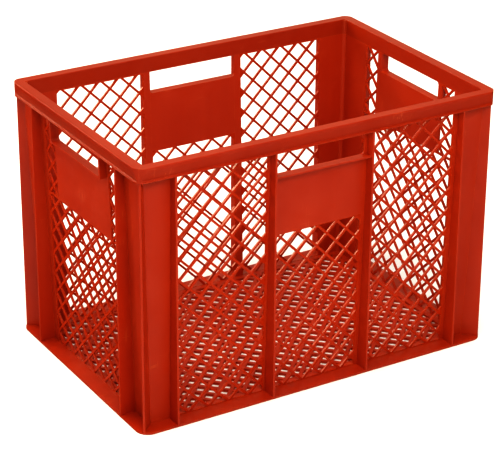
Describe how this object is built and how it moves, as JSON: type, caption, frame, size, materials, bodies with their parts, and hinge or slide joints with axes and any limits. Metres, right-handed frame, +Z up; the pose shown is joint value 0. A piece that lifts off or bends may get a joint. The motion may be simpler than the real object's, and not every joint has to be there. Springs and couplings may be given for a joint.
{
  "type": "milk bottle crate",
  "caption": "Rectangular open-topped stacking crate with diamond mesh walls, external ribs, hand holes and a perforated floor.",
  "frame": {"origin": "on the floor, under the middle of the crate's footprint", "axes": "+X along the length, +Y across the width to the rear, +Z up"},
  "size_m": [0.6, 0.4, 0.41],
  "materials": {
    "crate_plastic": "semi-matt moulded polyethylene, orange-red"
  },
  "bodies": {
    "root": {"corner_panel_long_front_left": "crate_plastic", "corner_panel_long_front_right": "crate_plastic", "corner_panel_long_rear_left": "crate_plastic", "corner_panel_long_rear_right": "crate_plastic", "corner_panel_short_front_left": "crate_plastic", "corner_panel_short_front_right": "crate_plastic", "corner_panel_short_rear_left": "crate_plastic", "corner_panel_short_rear_right": "crate_plastic", "corner_web_front_left": "crate_plastic", "corner_web_front_right": "crate_plastic", "corner_web_rear_left": "crate_plastic", "corner_web_rear_right": "crate_plastic", "floor": "crate_plastic", "foot_flange_front": "crate_plastic", "foot_flange_left": "crate_plastic", "foot_flange_rear": "crate_plastic", "foot_flange_right": "crate_plastic", "handle_frame_left": "crate_plastic", "handle_frame_right": "crate_plastic", "handle_plate_front": "crate_plastic", "handle_plate_left": "crate_plastic", "handle_plate_rear": "crate_plastic", "handle_plate_right": "crate_plastic", "handle_posts_left": "crate_plastic", "handle_posts_right": "crate_plastic", "handle_sill_front": "crate_plastic", "handle_sill_rear": "crate_plastic", "mesh_bay_front_left": "crate_plastic", "mesh_bay_front_right": "crate_plastic", "mesh_bay_rear_left": "crate_plastic", "mesh_bay_rear_right": "crate_plastic", "mesh_strip_left_front": "crate_plastic", "mesh_strip_left_rear": "crate_plastic", "mesh_strip_right_front": "crate_plastic", "mesh_strip_right_rear": "crate_plastic", "mesh_under_handle_front": "crate_plastic", "mesh_under_handle_left": "crate_plastic", "mesh_under_handle_rear": "crate_plastic", "mesh_under_handle_right": "crate_plastic", "mullion_front_left": "crate_plastic", "mullion_front_right": "crate_plastic", "mullion_rear_left": "crate_plastic", "mullion_rear_right": "crate_plastic", "post_fin_long_front_left": "crate_plastic", "post_fin_long_front_right": "crate_plastic", "post_fin_long_rear_left": "crate_plastic", "post_fin_long_rear_right": "crate_plastic", "post_fin_short_front_left": "crate_plastic", "post_fin_short_front_right": "crate_plastic", "post_fin_short_rear_left": "crate_plastic", "post_fin_short_rear_right": "crate_plastic", "rim_rail_front": "crate_plastic", "rim_rail_left": "crate_plastic", "rim_rail_rear": "crate_plastic", "rim_rail_right": "crate_plastic"}
  },
  "joints": []
}
